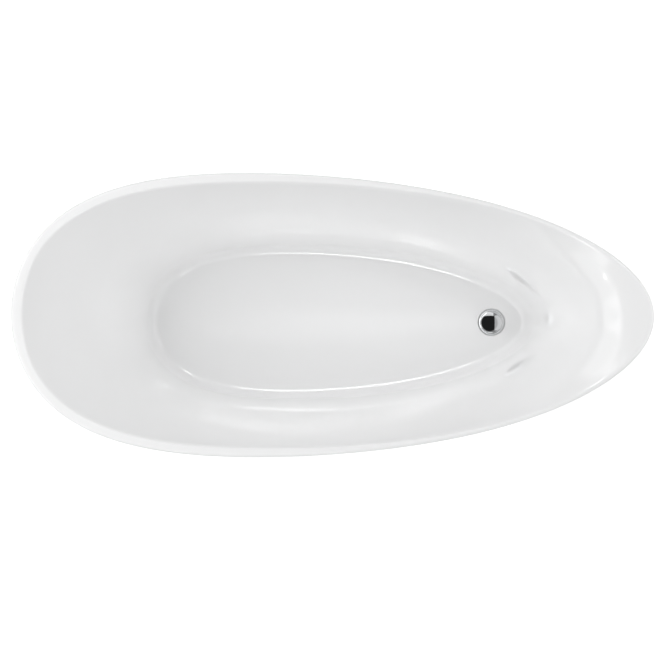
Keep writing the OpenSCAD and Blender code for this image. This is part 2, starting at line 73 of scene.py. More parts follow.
class Sum:
    """A number that a node tree works out afresh at every point of a mesh."""

    def __init__(self, tree: bpy.types.NodeTree, socket: bpy.types.NodeSocket) -> None:
        """Wraps a socket."""
        self.tree = tree
        self.socket = socket

    def step(self, operation: str, *others: Union["Sum", float]) -> "Sum":
        """Adds one Math node that starts with this number.

        Args:
            operation: The Math node's operation.
            others: Its other inputs, in order.
        """
        node = self.tree.nodes.new("ShaderNodeMath")
        node.operation = operation
        for slot, value in enumerate((self, *others)):
            if isinstance(value, Sum):
                self.tree.links.new(value.socket, node.inputs[slot])
            else:
                node.inputs[slot].default_value = value
        return Sum(self.tree, node.outputs[0])

    def __add__(self, other: Union["Sum", float]) -> "Sum":
        """Adds."""
        return self.step("ADD", other)

    def __mul__(self, other: Union["Sum", float]) -> "Sum":
        """Multiplies."""
        return self.step("MULTIPLY", other)

    def __sub__(self, other: Union["Sum", float]) -> "Sum":
        """Takes away."""
        return self.step("SUBTRACT", other)

    def __truediv__(self, other: Union["Sum", float]) -> "Sum":
        """Divides."""
        return self.step("DIVIDE", other)

    def __pow__(self, other: Union["Sum", float]) -> "Sum":
        """Raises to a power."""
        return self.step("POWER", other)

    def __rsub__(self, other: float) -> "Sum":
        """Takes this number away from a plain one."""
        return (self * -1.0) + other

    __radd__ = __add__
    __rmul__ = __mul__

    def clamped(self) -> "Sum":
        """Keeps the number between 0 and 1."""
        return self.step("MAXIMUM", 0.0).step("MINIMUM", 1.0)

    def eased(self) -> "Sum":
        """Eases the number in and out between 0 and 1."""
        held = self.clamped()
        return held * held * (3.0 - held * 2.0)


def feed(tree: bpy.types.NodeTree, target: bpy.types.NodeSocket, value: object) -> None:
    """Links or sets one input of a node."""
    if isinstance(value, Sum):
        value = value.socket
    if isinstance(value, bpy.types.NodeSocket):
        tree.links.new(value, target)
    else:
        target.default_value = value


def add_node(tree: bpy.types.NodeTree, kind: str, **values: object) -> bpy.types.Node:
    """Adds a node and fills its inputs.

    Args:
        tree: The tree that it goes in.
        kind: The node's type.
        values: Input names, with underscores for spaces, and a Sum, a socket or a plain value.
    """
    made = tree.nodes.new(kind)
    for name, value in values.items():
        feed(tree, made.inputs[name.replace("_", " ")], value)
    return made


def placed(name: str, data: bpy.types.ID) -> bpy.types.Object:
    """Makes an object of a mesh, a lamp or a camera, and puts it in the scene."""
    made = bpy.data.objects.new(name, data)
    bpy.context.scene.collection.objects.link(made)
    return made


# ---------------------------------------------------------------------------------------------
# Finishes
# ---------------------------------------------------------------------------------------------


# Clouds to a metre, on mouldings and on everything else
BROAD_CLOUDS, SMALL_CLOUDS = 6.0, 14.0
# Places on the colour ramp where the darker tone ends and the paler one begins
TONE_EDGES = (0.25, 0.75)
COAT_ROUGHNESS = 0.05
# Wave scale that gives one ring to a metre
RING_SCALE = 0.314


class Grain(Enum):
    """The kinds of fine surface that the finishes use."""

    CAST = "even, faint flow marks"
    SPANGLE = "zinc crystals"
    TURNED = "fine lathe rings"
    PLIES = "layers of veneer"
    STRANDS = "chopped glass strands"
    MOULDED = "spark-eroded texture"


@dataclass(frozen=True)
class Finish:
    """One finish of the bath, as a shader with its own fine surface.

    Attributes:
        name: The material's name.
        slot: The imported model's material slot that the finish belongs to.
        pale: Lighter of the two colours that the surface varies between.
        deep: Darker of the two colours.
        gloss: Lowest and highest roughness over the surface.
        grain: The kind of fine surface.
        grain_size: Size of the grain, in metres.
        relief: Height of the grain, in metres.
        metal: 1 for bare or plated metal, otherwise 0.
        coat: Weight of a clear coat.
        ior: Index of refraction of the body.
    """

    name: str
    slot: str
    pale: tuple[float, float, float]
    deep: tuple[float, float, float]
    gloss: tuple[float, float]
    grain: Grain
    grain_size: float
    relief: float
    metal: float = 0.0
    coat: float = 0.0
    ior: float = 1.5

    def material(self) -> bpy.types.Material:
        """Gives the finish's material, and builds it on first use."""
        found = bpy.data.materials.get(self.name)
        if found:
            return found
        made = bpy.data.materials.new(self.name)
        made.use_nodes = True
        tree = made.node_tree
        place = add_node(tree, "ShaderNodeTexCoord").outputs["Object"]
        fine = self._fine_surface(tree, place)
        clouds = add_node(tree, "ShaderNodeTexNoise", Vector=place, Detail=4.0,
                          Scale=BROAD_CLOUDS if self.grain is Grain.CAST else SMALL_CLOUDS)
        tone = clouds.outputs["Fac"]
        spread = add_node(tree, "ShaderNodeMapRange", Value=tone, To_Min=self.gloss[0],
                          To_Max=self.gloss[1])
        bump = add_node(tree, "ShaderNodeBump", Strength=1.0, Distance=self.relief, Height=fine)
        ramp = add_node(tree, "ShaderNodeValToRGB",
                        Fac=tone if self.grain in (Grain.CAST, Grain.TURNED) else fine)
        for stop, edge, colour in zip(ramp.color_ramp.elements, TONE_EDGES, (self.deep, self.pale)):
            stop.position, stop.color = edge, (*colour, 1)
        surface = {
            "Metallic": self.metal, "IOR": self.ior, "Coat Weight": self.coat,
            "Coat Roughness": COAT_ROUGHNESS, "Base Color": ramp.outputs["Color"],
            "Roughness": spread.outputs["Result"], "Normal": bump.outputs["Normal"]}
        for name, value in surface.items():
            feed(tree, tree.nodes["Principled BSDF"].inputs[name], value)
        return made

    def _fine_surface(self, tree: bpy.types.NodeTree,
                      place: bpy.types.NodeSocket) -> bpy.types.NodeSocket:
        """Adds the finish's own grain, and gives its height from 0 to 1.

        Args:
            tree: The material's tree.
            place: The socket with the place on the piece.
        """
        along = {Grain.STRANDS: (0.25, 0.25, 1.0), Grain.PLIES: (0.05, 0.6, 1.0)}
        stretch = add_node(tree, "ShaderNodeMapping", Vector=place,
                           Scale=along.get(self.grain, (1.0, 1.0, 1.0)))
        at = stretch.outputs["Vector"]
        if self.grain is Grain.SPANGLE:
            cells = add_node(tree, "ShaderNodeTexVoronoi", Vector=at, Scale=1 / self.grain_size)
            grey = add_node(tree, "ShaderNodeRGBToBW", Color=cells.outputs["Color"])
            return grey.outputs["Val"]
        if self.grain in (Grain.TURNED, Grain.PLIES):
            rings = add_node(tree, "ShaderNodeTexWave", Vector=at,
                             Scale=RING_SCALE / self.grain_size,
                             Distortion=0.6 if self.grain is Grain.PLIES else 0.2)
            rings.bands_direction = "Z"
            return rings.outputs["Fac"]
        noise = add_node(tree, "ShaderNodeTexNoise", Vector=at, Scale=1 / self.grain_size,
                         Detail=2.0 if self.grain is Grain.CAST else 6.0)
        return noise.outputs["Fac"]


ACRYLIC = Finish("white acrylic", "acrylic", (0.928, 0.93, 0.932), (0.918, 0.92, 0.922),
                 (0.1, 0.16), Grain.CAST, 0.12, 0.00012, coat=0.35, ior=1.49)
GEL_BACK = Finish("glass-fibre strip", "glass_fibre", (0.8, 0.77, 0.62), (0.62, 0.58, 0.42),
                  (0.4, 0.7), Grain.STRANDS, 0.004, 0.0004)
SILICONE = Finish("white silicone", "sealant", (0.84, 0.84, 0.83), (0.79, 0.79, 0.78),
                  (0.35, 0.5), Grain.CAST, 0.02, 0.0001, ior=1.41)
PLYWOOD = Finish("birch plywood", "board", (0.72, 0.55, 0.37), (0.5, 0.34, 0.2),
                 (0.5, 0.75), Grain.PLIES, 0.003, 0.0002)
GALVANISED = Finish("galvanised tube", "galvanised_tube", (0.62, 0.64, 0.66), (0.44, 0.46, 0.48),
                    (0.28, 0.5), Grain.SPANGLE, 0.011, 0.00002, metal=1.0)
BRACKET_ZINC = Finish("galvanised bracket", "galvanised_bracket", (0.64, 0.66, 0.67),
                      (0.48, 0.5, 0.52), (0.3, 0.5), Grain.SPANGLE, 0.006, 0.00002, metal=1.0)
BRIGHT_ZINC = Finish("bright zinc", "zinc_fastener", (0.74, 0.74, 0.7), (0.6, 0.61, 0.6),
                     (0.2, 0.36), Grain.TURNED, 0.0006, 0.00002, metal=1.0)
STUD_ZINC = Finish("rolled zinc stud", "zinc_stud", (0.74, 0.74, 0.7), (0.58, 0.59, 0.58),
                   (0.22, 0.38), Grain.TURNED, 0.0006, 0.00001, metal=1.0)
BLACK_CAP = Finish("black polyethylene", "cap_plastic", (0.07, 0.07, 0.07), (0.045, 0.045, 0.045),
                   (0.45, 0.65), Grain.MOULDED, 0.0006, 0.00005)
GLUE = Finish("cured adhesive", "adhesive", (0.24, 0.24, 0.24), (0.17, 0.17, 0.17),
              (0.5, 0.7), Grain.MOULDED, 0.006, 0.0004)
NYLON = Finish("glass-filled nylon", "pad_plastic", (0.095, 0.095, 0.1), (0.06, 0.06, 0.064),
               (0.42, 0.62), Grain.MOULDED, 0.0008, 0.00006)
CHROME = Finish("polished chrome", "chrome", (0.78, 0.79, 0.8), (0.74, 0.75, 0.76),
                (0.02, 0.06), Grain.CAST, 0.03, 0.000006, metal=1.0)
RUBBER = Finish("black rubber", "rubber", (0.045, 0.045, 0.045), (0.028, 0.028, 0.028),
                (0.55, 0.75), Grain.MOULDED, 0.0009, 0.00006)
BRASS = Finish("machined brass", "brass", (0.8, 0.62, 0.33), (0.66, 0.49, 0.24),
               (0.18, 0.34), Grain.TURNED, 0.0007, 0.00002, metal=1.0)
STAINLESS = Finish("turned stainless", "stainless", (0.72, 0.72, 0.71), (0.62, 0.62, 0.61),
                   (0.16, 0.3), Grain.TURNED, 0.0006, 0.00001, metal=1.0)
SPRING_WIRE = Finish("drawn spring wire", "spring_steel", (0.5, 0.5, 0.5), (0.38, 0.38, 0.39),
                     (0.22, 0.4), Grain.CAST, 0.002, 0.00001, metal=1.0)


# ---------------------------------------------------------------------------------------------
# Geometry Nodes trees
# ---------------------------------------------------------------------------------------------


Number = Union[Sum, float]


@dataclass
class Spot:
    """A place in space, as three sums."""

    x: Number
    y: Number
    z: Number

    def __add__(self, other: "Spot") -> "Spot":
        """Adds, axis by axis."""
        return Spot(self.x + other.x, self.y + other.y, self.z + other.z)

    def times(self, share: Number) -> "Spot":
        """Scales all three axes."""
        return Spot(share * self.x, share * self.y, share * self.z)

    def towards(self, other: "Spot", share: Number) -> "Spot":
        """Moves part of the way to another place."""
        return self.times(1.0 - share) + other.times(share)

    def level(self, z: Number) -> "Spot":
        """Keeps the plan position at another height."""
        return Spot(self.x, self.y, z)


def eased_corner(start: Spot, corner: Spot, end: Spot, share: Sum) -> Spot:
    """Rounds a corner between two places.

    Args:
        start: Where the rounding begins.
        corner: The sharp corner.
        end: Where the rounding ends.
        share: How far along the rounding the place is, from 0 to 1.
    """
    return start.towards(corner, share).towards(corner.towards(end, share), share)


class TreeMaker:
    """Builds one Geometry Nodes tree with named inputs."""

    def __init__(self, name: str, sizes: dict[str, float]) -> None:
        """Starts a tree.

        Args:
            name: The tree's name.
            sizes: The named inputs and their values.
        """
        self.tree = bpy.data.node_groups.new(name, "GeometryNodeTree")
        self.sizes = sizes
        add_socket = self.tree.interface.new_socket
        add_socket("Geometry", in_out="OUTPUT", socket_type="NodeSocketGeometry")
        for size in sizes:
            add_socket(size, in_out="INPUT", socket_type="NodeSocketFloat")
        add_socket("finish", in_out="INPUT", socket_type="NodeSocketMaterial")
        self.given = self.tree.nodes.new("NodeGroupInput")

    def size(self, name: str) -> Sum:
        """Reads a named input."""
        return Sum(self.tree, self.given.outputs[name])

    def node(self, kind: str, **values: object) -> bpy.types.Node:
        """Adds a node to this tree and fills its inputs."""
        return add_node(self.tree, kind, **values)

    def vector(self, spot: Spot) -> bpy.types.NodeSocket:
        """Joins three sums to one vector."""
        return self.node("ShaderNodeCombineXYZ", X=spot.x, Y=spot.y, Z=spot.z).outputs[0]

    def grow(self, shape: bpy.types.NodeSocket, finish: Finish, name: str, weld: float = 0.0,
             smooth: bool = True) -> bpy.types.Object:
        """Ends the tree, runs it once and keeps the result as a plain mesh.

        Args:
            shape: The tree's last geometry.
            finish: The finish that it wears.
            name: The new piece's name.
            weld: Distance within which points are joined, or 0 for none.
            smooth: Whether faces are shaded smoothly.
        """
        shape = self.node("GeometryNodeRealizeInstances", Geometry=shape).outputs[0]
        if weld:
            shape = self.node("GeometryNodeMergeByDistance", Geometry=shape,
                              Distance=weld).outputs[0]
        if smooth:
            shape = self.node("GeometryNodeSetShadeSmooth", Geometry=shape).outputs[0]
        dressed = self.node("GeometryNodeSetMaterial", Geometry=shape,
                            Material=self.given.outputs["finish"])
        end = self.tree.nodes.new("NodeGroupOutput")
        self.tree.links.new(dressed.outputs[0], end.inputs[0])
        return self._run(finish, name)

    def _run(self, finish: Finish, name: str) -> bpy.types.Object:
        """Runs the tree on an empty host and keeps a plain mesh."""
        host = placed(name + "_host", bpy.data.meshes.new(name + "_host"))
        modifier = host.modifiers.new("grow", "NODES")
        modifier.node_group = self.tree
        for item in self.tree.interface.items_tree:
            if item.in_out == "INPUT":
                known = self.sizes.get(item.name)
                modifier[item.identifier] = finish.material() if known is None else float(known)
        graph = bpy.context.evaluated_depsgraph_get()
        mesh = bpy.data.meshes.new_from_object(host.evaluated_get(graph))
        bpy.data.objects.remove(host)
        mesh.name = name
        if not mesh.materials:
            mesh.materials.append(finish.material())
        return placed(name, mesh)

    def stand(self, shape: bpy.types.NodeSocket, finish: Finish, name: str, crease: float,
              smooth: bool = True) -> bpy.types.Object:
        """Moves a shape to the inputs x, y and z, and makes a finished piece of it.

        Args:
            shape: The tree's last geometry.
            finish: The finish that it wears.
            name: The new piece's name.
            crease: Angle above which an edge stays sharp, in degrees.
            smooth: Whether faces are shaded smoothly.
        """
        where = self.vector(Spot(self.size("x"), self.size("y"), self.size("z")))
        moved = self.node("GeometryNodeTransform", Geometry=shape, Translation=where)
        piece = self.grow(moved.outputs[0], finish, name, smooth=smooth)
        mesh = piece.data
        bpy.data.objects.remove(piece)
        return finished(name, mesh, finish, crease)


# ---------------------------------------------------------------------------------------------
# Mesh helpers
# ---------------------------------------------------------------------------------------------

Ring = Union[tuple[float, float], Callable[[float], tuple[float, float]]]


def rounded(points: Sequence[tuple[float, float, float]],
            steps: int = 4) -> list[tuple[float, float]]:
    """Rounds the corners of an open or closed profile.

    Args:
        points: Radius, height and rounding of each corner, in metres; 0 keeps it sharp.
        steps: Straight pieces to each rounding.
    """
    out: list[tuple[float, float]] = []
    for place, (r, z, ease) in enumerate(points):
        here = Vector((r, z))
        if ease <= 0:
            out.append((r, z))
            continue
        before = Vector(points[place - 1][:2])
        after = Vector(points[(place + 1) % len(points)][:2])
        start = here + (before - here).normalized() * min(ease, (before - here).length / 2)
        end = here + (after - here).normalized() * min(ease, (after - here).length / 2)
        for step in range(steps + 1):
            t = step / steps
            spot = start * (1 - t) ** 2 + here * 2 * t * (1 - t) + end * t * t
            out.append((spot.x, spot.y))
    return out


def turned(name: str, rings: Sequence[Ring], centre: tuple[float, float], finish: Finish,
           around: int = 96, loop: bool = True) -> bpy.types.Object:
    """Revolves a profile about an upright axis.

    Args:
        name: The piece's name.
        rings: Radius and height of each ring, or a rule that gives them at an angle.
        centre: X and Y of the axis.
        finish: The piece's finish.
        around: Steps round the axis.
        loop: True closes the last ring to the first; False needs both on the axis.
    """
    points: list[tuple[float, float, float]] = []
    index: list[list[int]] = []
    for ring in rings:
        row = []
        pole = isinstance(ring, tuple) and ring[0] < 1e-9
        for step in range(1 if pole else around):
            angle = 2 * math.pi * step / around
            r, z = ring(angle) if callable(ring) else ring
            row.append(len(points))
            points.append((centre[0] + r * math.cos(angle), centre[1] + r * math.sin(angle), z))
        index.append(row * around if pole else row)
    faces = []
    pairs = list(zip(index, index[1:])) + ([(index[-1], index[0])] if loop else [])
    for low, high in pairs:
        for step in range(around):
            nxt = (step + 1) % around
            quad = (low[step], low[nxt], high[nxt], high[step])
            faces.append(tuple(dict.fromkeys(quad)))
    mesh = bpy.data.meshes.new(name)
    mesh.from_pydata(points, [], [face for face in faces if len(face) > 2])
    return finished(name, mesh, finish)


def finished(name: str, mesh: bpy.types.Mesh, finish: Finish,
             crease: float = 32.0) -> bpy.types.Object:
    """Makes a piece of a mesh, with faces outwards and soft shading up to an angle.

    Args:
        name: The piece's name.
        mesh: The mesh.
        finish: Its finish.
        crease: Angle above which an edge stays sharp, in degrees.
    """
    work = bmesh.new()
    work.from_mesh(mesh)
    bmesh.ops.remove_doubles(work, verts=work.verts, dist=1e-7)
    bmesh.ops.recalc_face_normals(work, faces=work.faces)
    work.to_mesh(mesh)
    work.free()
    mesh.materials.clear()
    mesh.materials.append(finish.material())
    mesh.shade_smooth()
    mesh.set_sharp_from_angle(angle=math.radians(crease))
    return placed(name, mesh)


def joined(name: str, pieces: Sequence[bpy.types.Object]) -> bpy.types.Object:
    """Joins pieces of one finish to one mesh.

    Args:
        name: The joined piece's name.
        pieces: The pieces, at the origin; they are used up.
    """
    work = bmesh.new()
    for piece in pieces:
        work.from_mesh(piece.data)
    mesh = bpy.data.meshes.new(name)
    work.to_mesh(mesh)
    work.free()
    mesh.materials.append(pieces[0].data.materials[0])
    for piece in pieces:
        bpy.data.objects.remove(piece)
    return placed(name, mesh)


def fit(piece: bpy.types.Object, body: str, finish: Finish, *nodes: str) -> None:
    """Hangs a piece on a body, in place of the plain nodes that it stands for.

    Args:
        piece: The finished piece.
        body: The body that it rides on.
        finish: The finish that it wears; not used.
        nodes: The plain nodes that it replaces.
    """
    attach(piece, body)
    if nodes:
        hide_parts(*nodes)
    LOG.info("%s on %s: %d faces", piece.name, body, len(piece.data.polygons))


def middle(node: str) -> tuple[float, float]:
    """Gives the X and Y of a node's middle."""
    low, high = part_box(node)
    return (low.x + high.x) / 2, (low.y + high.y) / 2


def radius_of(node: str) -> float:
    """Gives the radius of a round node."""
    low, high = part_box(node)
    return (high.x - low.x) / 2


# ---------------------------------------------------------------------------------------------
# Shells
# ---------------------------------------------------------------------------------------------


@dataclass
class ShellSizes:
    """Sizes of the egg-shaped shells, in metres unless said otherwise."""

    head_x: float
    foot_x: float
    half_w: float
    head_h: float
    waste_x: float
    foot_h: float = 0.560
    egg_lean: float = 0.17
    egg_full: float = 0.17
    egg_blunt: float = 0.11
    egg_peak: float = 1.0
    rim_w_head: float = 0.026
    rim_w_foot: float = 0.014
    rim_r: float = 0.008
    lip_head: float = 0.006
    lip_foot: float = 0.034
    lip_top: float = 0.004
    flange_d: float = 0.028
    shell_t: float = 0.005
    floor_h: float = 0.150
    floor_fall: float = 0.010
    floor_t: float = 0.010
    back_run: float = 0.330
    foot_run: float = 0.305
    side_run: float = 0.164
    bend_r: float = 0.024
    dish_w: float = 0.076
    dish_w_foot: float = 0.046
    dish_rise: float = 0.010
    wall_straight: float = 0.62
    side_straight: float = 0.2
    foot_straight: float = 0.12
    wall_flare: float = 3.0
    hole_r: float = 0.026
    seat_r: float = 0.0375
    seat_depth: float = 0.005
    seat_chamfer: float = 0.0015
    skirt_gap: float = 0.010
    skirt_in_head: float = 0.260
    skirt_in_foot: float = 0.240
    skirt_in_side: float = 0.112
    skirt_round: float = 1.5
    hem_w: float = 0.032
    seam_w: float = 0.002

    @classmethod
    def measured(cls) -> "ShellSizes":
        """Takes the overall sizes and the waste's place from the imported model."""
        low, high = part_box("basin")
        made = cls(low.x, high.x, round(high.y, 3), high.z, middle("plug_cap")[0])
        turn = [math.radians(step / 4) for step in range(721)]
        made.egg_peak = max(math.sin(a) * (1 + made.egg_lean * math.cos(a) + made.egg_full
                            * math.cos(a) ** 2 + made.egg_blunt * math.cos(a) ** 3) for a in turn)
        return made

    def named(self) -> dict[str, float]:
        """Gives every size by its name."""
        return {size.name: getattr(self, size.name) for size in fields(self)}


class EggRules:
    """The rules of the bath's surfaces, written as sums of one tree."""

    def __init__(self, maker: TreeMaker, angle: Sum) -> None:
        """Works out what all surfaces share.

        Args:
            maker: The tree.
            angle: Angle round the egg in radians, 0 at the head end.
        """
        self.maker = maker
        get = maker.size
        self.cos, self.sin = angle.step("COSINE"), angle.step("SINE")
        c = self.cos
        self.none, self.whole = c * 0.0, c * 0.0 + 1.0
        swell = 1.0 + c * (get("egg_lean") + c * (get("egg_full") + c * get("egg_blunt")))
        tilt = get("egg_lean") + c * (get("egg_full") * 2.0 + c * get("egg_blunt") * 3.0)
        self.across = self.sin * swell / get("egg_peak")
        self.across_slope = (c * swell - self.sin * self.sin * tilt) / get("egg_peak")
        self.along = 0.5 - c * 0.5
        self.rim_z = get("foot_h") + (get("head_h") - get("foot_h")) * (c * 0.5 + 0.5).eased()
        self.rim_w = get("rim_w_foot") + (get("rim_w_head") - get("rim_w_foot")) * (c + 0.6).eased()
        self.lip_run = get("lip_head") + (get("lip_foot") - get("lip_head")) * (
            c * -1.4 - 0.2).eased()
        self.straight = get("foot_straight") + (
            get("wall_straight") - get("foot_straight")) * ((c + 1.0) / 0.8).eased() + (
            self.sin * self.sin * get("side_straight"))
        head, foot, half = get("head_x"), get("foot_x"), get("half_w")
        self.rim_ends = (head, foot, half)
        self.bend_ends = (head + get("back_run"), foot - get("foot_run"), half - get("side_run"))
        bend_head, bend_foot, bend_half = self.bend_ends
        self.flat_ends = (bend_head + get("dish_w"), bend_foot - get("dish_w_foot"),
                          bend_half - get("dish_w"))
        self.hem_ends = (head + get("skirt_in_head"), foot - get("skirt_in_foot"),
                         half - get("skirt_in_side"))
        self.rim, self.bend = self.outline(self.rim_ends), self.outline(self.bend_ends)
        self.flat, self.hem = self.outline(self.flat_ends), self.outline(self.hem_ends)
        self.inward = self.inward_of(self.rim_ends, self.rim_ends, 1.0)
        self.flat_z = self.floor_z(self.flat.x)

    def outline(self, ends: tuple[Sum, Sum, Sum]) -> Spot:
        """Gives an egg's place in plan from its head, foot and half width."""
        head, foot, half = ends
        return Spot(head + (foot - head) * self.along, half * self.across, 0.0)

    def inward_of(self, low: tuple[Sum, Sum, Sum], high: tuple[Sum, Sum, Sum],
                  share: Number) -> Spot:
        """Gives the level unit step inwards from an egg between two others.

        Args:
            low: Head, foot and half width of the egg at share 0.
            high: The same at share 1.
            share: How far the egg is from the first to the second.
        """
        length = (low[1] - low[0]) * (1.0 - share) + (high[1] - high[0]) * share
        half = low[2] * (1.0 - share) + high[2] * share
        dx, dy = length * self.sin * 0.5, half * self.across_slope
        size = (dx * dx + dy * dy).step("SQRT").step("MAXIMUM", 1e-9)
        return Spot(dy / size, dx / size * -1.0, 0.0)

    def floor_z(self, x: Sum) -> Sum:
        """Gives the floor's height, which falls towards the waste."""
        get = self.maker.size
        back = (get("waste_x") - x).step("MAXIMUM", 0.0)
        return get("floor_h") + get("floor_fall") * back / (get("waste_x") - self.flat_ends[0])

    def rim_step(self, inset: Number, z: Number) -> Spot:
        """Gives the place a step inside the rim's outline."""
        return (self.rim + self.inward.times(inset)).level(z)

    def dish(self, share: Number) -> Spot:
        """Gives a place on the dished margin, from the flat floor to the bend."""
        rise = self.maker.size("dish_rise") * share * share
        return self.flat.towards(self.bend, share).level(self.flat_z + rise)

    def wall(self, share: Sum) -> Spot:
        """Gives a place on the basin's wall, from the bend to the rim's inner edge."""
        get = self.maker.size
        flare = 1.0 - (1.0 - share).step("MAXIMUM", 0.0) ** get("wall_flare")
        rise = flare * (1.0 - self.straight) + share * self.straight
        foot = self.flat_z + get("dish_rise")
        spot = self.bend.towards(self.rim_step(self.rim_w, 0.0), share)
        return spot.level(foot + (self.rim_z - foot) * rise)

    def side(self, up: Sum, inset: Number) -> Spot:
        """Gives a place on the outside, from the hem at 0 to the rim's roll at 1.

        Args:
            up: How far up the side the place is.
            inset: Distance inside the side, in metres.
        """
        get = self.maker.size
        share = 1.0 - (1.0 - up).step("MAXIMUM", 0.0) ** get("skirt_round")
        gap = get("skirt_gap")
        spot = self.hem.towards(self.rim, share).level(gap + (self.rim_z - get("rim_r") - gap) * up)
        return spot + self.inward_of(self.hem_ends, self.rim_ends, share).times(inset)

    def side_up(self, depth: Number) -> Sum:
        """Gives how far up the side a depth below the rim is."""
        get = self.maker.size
        drop = (self.rim_z - get("rim_r") - get("skirt_gap"))
        return 1.0 - (depth - get("rim_r")) / drop

    def round_hole(self, radius: Number, z: Number) -> Spot:
        """Gives a place on a circle about the waste, on the line to the flat floor's edge."""
        waste_x = self.maker.size("waste_x")
        share = radius / distance(Spot(waste_x, self.none, 0.0), self.flat)
        return Spot(waste_x + (self.flat.x - waste_x) * share, self.flat.y * share, z)


BandRule = Callable[[EggRules, Sum], Spot]


@dataclass
class Shells:
    """The basin, the skirt and the joint between them."""

    sizes: ShellSizes
    around: int = 320
    seam_t: float = 0.003
    bead_hollow: float = 0.0016
    bead_in: float = 0.0004
    strip_up: float = 0.008
    strip_w: float = 0.038
    strip_gap: float = 0.0002
    floor_slack: float = 0.0005

    def build(self) -> None:
        """Builds and fits the four shells."""
        basin = self.shell("basin_shell", self.basin_bands(), ACRYLIC)
        self.thicken(basin, self.sizes.floor_t, self.sizes.shell_t / self.sizes.floor_t,
                     self.is_floor)
        fit(basin, "tub", ACRYLIC, "basin")
        skirt = self.shell("skirt_shell", self.skirt_bands(), ACRYLIC)
        self.thicken(skirt, self.sizes.shell_t)
        fit(skirt, "tub", ACRYLIC, "skirt")
        bead = self.shell("seam_silicone", [(10, self.bead_rule)], SILICONE)
        self.thicken(bead, self.seam_t)
        fit(bead, "tub", SILICONE, "seam_bead")
        strip = self.shell("fibre_strip", [(24, self.strip_rule)], GEL_BACK)
        self.thicken(strip, self.seam_t)
        fit(strip, "tub", GEL_BACK, "joint_strip")

    def shell(self, name: str, bands: Sequence[tuple[int, BandRule]],
              finish: Finish) -> bpy.types.Object:
        """Grows one open skin from bands that meet edge to edge.

        Args:
            name: The piece's name.
            bands: Steps across each band, and its rule.
            finish: The skin's finish.
        """
        maker = TreeMaker(name + " rule", self.sizes.named())
        join = maker.tree.nodes.new("GeometryNodeJoinGeometry")
        spot = maker.tree.nodes.new("GeometryNodeInputPosition")
        split = maker.node("ShaderNodeSeparateXYZ", Vector=spot.outputs[0])
        rules = EggRules(maker, (Sum(maker.tree, split.outputs[0]) + 0.5) * (2 * math.pi))
        across = Sum(maker.tree, split.outputs[1]) + 0.5
        for steps, rule in bands:
            grid = maker.node("GeometryNodeMeshGrid", Size_X=1.0, Size_Y=1.0,
                              Vertices_X=self.around + 1, Vertices_Y=steps + 1)
            place = maker.vector(rule(rules, across))
            moved = maker.node("GeometryNodeSetPosition", Geometry=grid.outputs["Mesh"],
                               Position=place)
            maker.tree.links.new(moved.outputs[0], join.inputs[0])
        return maker.grow(join.outputs[0], finish, name, weld=1e-5)

    def basin_bands(self) -> list[tuple[int, BandRule]]:
        """Lists the basin's bands from the waste hole out over the rim."""

        def low(egg: EggRules) -> Sum:
            """Share of the wall that the bend at its foot takes."""
            return egg.maker.size("bend_r") / distance(egg.wall(egg.none), egg.wall(egg.whole))

        def high(egg: EggRules) -> Sum:
            """Share of the wall where the rounding at its top begins."""
            reach = distance(egg.bend, egg.rim_step(egg.rim_w, 0.0))
            return 1.0 - egg.lip_run / reach

        def seat(egg: EggRules, v: Sum) -> Spot:
            """The level seat under the waste's flange."""
            get = egg.maker.size
            z = get("floor_h") - get("seat_depth")
            return egg.round_hole(get("hole_r"), z).towards(egg.round_hole(get("seat_r"), z), v)

        def seat_side(egg: EggRules, v: Sum) -> Spot:
            """The step up from the seat to the floor."""
            get = egg.maker.size
            bottom = egg.round_hole(get("seat_r"), get("floor_h") - get("seat_depth"))
            corner = egg.round_hole(get("seat_r") + get("seat_chamfer") * 0.2, get("floor_h"))
            edge = egg.round_hole(get("seat_r") + get("seat_chamfer"), get("floor_h"))
            return eased_corner(bottom, corner, edge, v)

        def floor(egg: EggRules, v: Sum) -> Spot:
            """The flat floor, which falls to the waste."""
            inner = egg.round_hole(egg.maker.size("seat_r") + egg.maker.size("seat_chamfer"), 0.0)
            spot = inner.towards(egg.flat, v)
            return spot.level(egg.floor_z(spot.x))

        def dish_end(egg: EggRules) -> Sum:
            """Share of the dished margin before the bend's rounding."""
            return 1.0 - egg.maker.size("bend_r") / distance(egg.flat, egg.bend)

        def dish(egg: EggRules, v: Sum) -> Spot:
            """The dished margin."""
            return egg.dish(v * dish_end(egg))

        def bend(egg: EggRules, v: Sum) -> Spot:
            """The tight bend between the margin and the wall."""
            return eased_corner(egg.dish(dish_end(egg)), egg.dish(egg.whole), egg.wall(low(egg)), v)

        def wall(egg: EggRules, v: Sum) -> Spot:
            """The wall."""
            start = low(egg)
            return egg.wall(start + (high(egg) - start) * v)

        def rim_edge(egg: EggRules, v: Sum) -> Spot:
            """The rounding from the wall to the rim's top."""
            corner = egg.rim_step(egg.rim_w, egg.rim_z)
            end = egg.rim_step(egg.rim_w - egg.maker.size("lip_top"), egg.rim_z)
            return eased_corner(egg.wall(high(egg)), corner, end, v)

        def rim_top(egg: EggRules, v: Sum) -> Spot:
            """The rim's level top."""
            get = egg.maker.size
            inset = (egg.rim_w - get("lip_top")) * (1.0 - v) + get("rim_r") * v
            return egg.rim_step(inset, egg.rim_z)

        def roll(egg: EggRules, v: Sum) -> Spot:
            """The quarter-round outer edge."""
            turn = v * (math.pi / 2)
            radius = egg.maker.size("rim_r")
            return egg.rim_step(radius * (1.0 - turn.step("SINE")),
                                egg.rim_z - radius * (1.0 - turn.step("COSINE")))

        def flange(egg: EggRules, v: Sum) -> Spot:
            """The flange that turns down outside the rim."""
            get = egg.maker.size
            depth = get("rim_r") + (get("flange_d") - get("rim_r")) * v
            return egg.side(egg.side_up(depth), 0.0)

